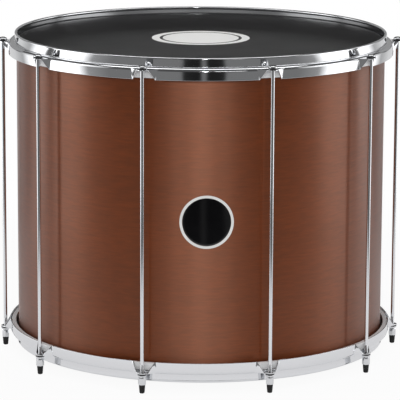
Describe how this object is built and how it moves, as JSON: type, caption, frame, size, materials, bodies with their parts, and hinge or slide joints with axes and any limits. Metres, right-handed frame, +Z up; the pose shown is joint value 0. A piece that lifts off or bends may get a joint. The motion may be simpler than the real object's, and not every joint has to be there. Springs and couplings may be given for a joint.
{
  "type": "surdo",
  "caption": "Deep cylindrical bass drum with a stained wooden shell, two black heads, steel counterhoops, full-length tension rods, tuning nuts and rubber feet",
  "frame": {"origin": "Middle of the circle that the ten rubber feet stand on; the floor is z = 0", "axes": "+Z up along the drum's axis, the badge faces -Y, and a rod stands on the X axis at each side"},
  "size_m": [0.6676, 0.6364, 0.5331],
  "materials": {
    "stained_wood": "satin stained veneer",
    "black_film": "satin film",
    "flesh_hoop": "satin",
    "hoop_chrome": "polished plate",
    "rod_chrome": "polished plate",
    "nylon": "moulded",
    "foot_rubber": "moulded",
    "badge_field": "gloss enamel",
    "badge_rim": "gloss enamel"
  },
  "bodies": {
    "drum": {"shell": "stained_wood", "batter_head": "black_film", "top_flesh_hoop": "flesh_hoop", "resonant_head": "black_film", "bottom_flesh_hoop": "flesh_hoop", "top_counterhoop": "hoop_chrome", "bottom_counterhoop": "hoop_chrome", "badge_plate": "badge_field", "badge_ring": "badge_rim", "upper_washer_01": "nylon", "upper_washer_02": "nylon", "upper_washer_03": "nylon", "upper_washer_04": "nylon", "upper_washer_05": "nylon", "upper_washer_06": "nylon", "upper_washer_07": "nylon", "upper_washer_08": "nylon", "upper_washer_09": "nylon", "upper_washer_10": "nylon", "lower_washer_01": "nylon", "lower_washer_02": "nylon", "lower_washer_03": "nylon", "lower_washer_04": "nylon", "lower_washer_05": "nylon", "lower_washer_06": "nylon", "lower_washer_07": "nylon", "lower_washer_08": "nylon", "lower_washer_09": "nylon", "lower_washer_10": "nylon"},
    "tuner_01": {"tuning_nut_01": "rod_chrome", "rubber_foot_01": "foot_rubber"},
    "rod_01": {"tension_rod_01": "rod_chrome"},
    "tuner_02": {"tuning_nut_02": "rod_chrome", "rubber_foot_02": "foot_rubber"},
    "rod_02": {"tension_rod_02": "rod_chrome"},
    "tuner_03": {"tuning_nut_03": "rod_chrome", "rubber_foot_03": "foot_rubber"},
    "rod_03": {"tension_rod_03": "rod_chrome"},
    "tuner_04": {"tuning_nut_04": "rod_chrome", "rubber_foot_04": "foot_rubber"},
    "rod_04": {"tension_rod_04": "rod_chrome"},
    "tuner_05": {"tuning_nut_05": "rod_chrome", "rubber_foot_05": "foot_rubber"},
    "rod_05": {"tension_rod_05": "rod_chrome"},
    "tuner_06": {"tuning_nut_06": "rod_chrome", "rubber_foot_06": "foot_rubber"},
    "rod_06": {"tension_rod_06": "rod_chrome"},
    "tuner_07": {"tuning_nut_07": "rod_chrome", "rubber_foot_07": "foot_rubber"},
    "rod_07": {"tension_rod_07": "rod_chrome"},
    "tuner_08": {"tuning_nut_08": "rod_chrome", "rubber_foot_08": "foot_rubber"},
    "rod_08": {"tension_rod_08": "rod_chrome"},
    "tuner_09": {"tuning_nut_09": "rod_chrome", "rubber_foot_09": "foot_rubber"},
    "rod_09": {"tension_rod_09": "rod_chrome"},
    "tuner_10": {"tuning_nut_10": "rod_chrome", "rubber_foot_10": "foot_rubber"},
    "rod_10": {"tension_rod_10": "rod_chrome"}
  },
  "joints": [
    {"name": "rod_01_rise", "type": "slide", "parent": "drum", "child": "rod_01", "axis": [0, 0, 1], "range_m": [0, 0.006]},
    {"name": "nut_01_turn", "type": "hinge", "parent": "drum", "child": "tuner_01", "pos_m": [0.10086, -0.31043, 0.0218], "axis": [0, 0, 1], "range_deg": [-2160, 0]},
    {"name": "rod_02_rise", "type": "slide", "parent": "drum", "child": "rod_02", "axis": [0, 0, 1], "range_m": [0, 0.006]},
    {"name": "nut_02_turn", "type": "hinge", "parent": "drum", "child": "tuner_02", "pos_m": [0.26406, -0.19185, 0.0218], "axis": [0, 0, 1], "range_deg": [-2160, 0]},
    {"name": "rod_03_rise", "type": "slide", "parent": "drum", "child": "rod_03", "axis": [0, 0, 1], "range_m": [0, 0.006]},
    {"name": "nut_03_turn", "type": "hinge", "parent": "drum", "child": "tuner_03", "pos_m": [0.3264, 0, 0.0218], "axis": [0, 0, 1], "range_deg": [-2160, 0]},
    {"name": "rod_04_rise", "type": "slide", "parent": "drum", "child": "rod_04", "axis": [0, 0, 1], "range_m": [0, 0.006]},
    {"name": "nut_04_turn", "type": "hinge", "parent": "drum", "child": "tuner_04", "pos_m": [0.26406, 0.19185, 0.0218], "axis": [0, 0, 1], "range_deg": [-2160, 0]},
    {"name": "rod_05_rise", "type": "slide", "parent": "drum", "child": "rod_05", "axis": [0, 0, 1], "range_m": [0, 0.006]},
    {"name": "nut_05_turn", "type": "hinge", "parent": "drum", "child": "tuner_05", "pos_m": [0.10086, 0.31043, 0.0218], "axis": [0, 0, 1], "range_deg": [-2160, 0]},
    {"name": "rod_06_rise", "type": "slide", "parent": "drum", "child": "rod_06", "axis": [0, 0, 1], "range_m": [0, 0.006]},
    {"name": "nut_06_turn", "type": "hinge", "parent": "drum", "child": "tuner_06", "pos_m": [-0.10086, 0.31043, 0.0218], "axis": [0, 0, 1], "range_deg": [-2160, 0]},
    {"name": "rod_07_rise", "type": "slide", "parent": "drum", "child": "rod_07", "axis": [0, 0, 1], "range_m": [0, 0.006]},
    {"name": "nut_07_turn", "type": "hinge", "parent": "drum", "child": "tuner_07", "pos_m": [-0.26406, 0.19185, 0.0218], "axis": [0, 0, 1], "range_deg": [-2160, 0]},
    {"name": "rod_08_rise", "type": "slide", "parent": "drum", "child": "rod_08", "axis": [0, 0, 1], "range_m": [0, 0.006]},
    {"name": "nut_08_turn", "type": "hinge", "parent": "drum", "child": "tuner_08", "pos_m": [-0.3264, 0, 0.0218], "axis": [0, 0, 1], "range_deg": [-2160, 0]},
    {"name": "rod_09_rise", "type": "slide", "parent": "drum", "child": "rod_09", "axis": [0, 0, 1], "range_m": [0, 0.006]},
    {"name": "nut_09_turn", "type": "hinge", "parent": "drum", "child": "tuner_09", "pos_m": [-0.26406, -0.19185, 0.0218], "axis": [0, 0, 1], "range_deg": [-2160, 0]},
    {"name": "rod_10_rise", "type": "slide", "parent": "drum", "child": "rod_10", "axis": [0, 0, 1], "range_m": [0, 0.006]},
    {"name": "nut_10_turn", "type": "hinge", "parent": "drum", "child": "tuner_10", "pos_m": [-0.10086, -0.31043, 0.0218], "axis": [0, 0, 1], "range_deg": [-2160, 0]}
  ],
  "couplings": [
    {"joint": "nut_01_turn", "follows": "rod_01_rise", "rad_per_m": -6283.2},
    {"joint": "nut_02_turn", "follows": "rod_02_rise", "rad_per_m": -6283.2},
    {"joint": "nut_03_turn", "follows": "rod_03_rise", "rad_per_m": -6283.2},
    {"joint": "nut_04_turn", "follows": "rod_04_rise", "rad_per_m": -6283.2},
    {"joint": "nut_05_turn", "follows": "rod_05_rise", "rad_per_m": -6283.2},
    {"joint": "nut_06_turn", "follows": "rod_06_rise", "rad_per_m": -6283.2},
    {"joint": "nut_07_turn", "follows": "rod_07_rise", "rad_per_m": -6283.2},
    {"joint": "nut_08_turn", "follows": "rod_08_rise", "rad_per_m": -6283.2},
    {"joint": "nut_09_turn", "follows": "rod_09_rise", "rad_per_m": -6283.2},
    {"joint": "nut_10_turn", "follows": "rod_10_rise", "rad_per_m": -6283.2}
  ]
}
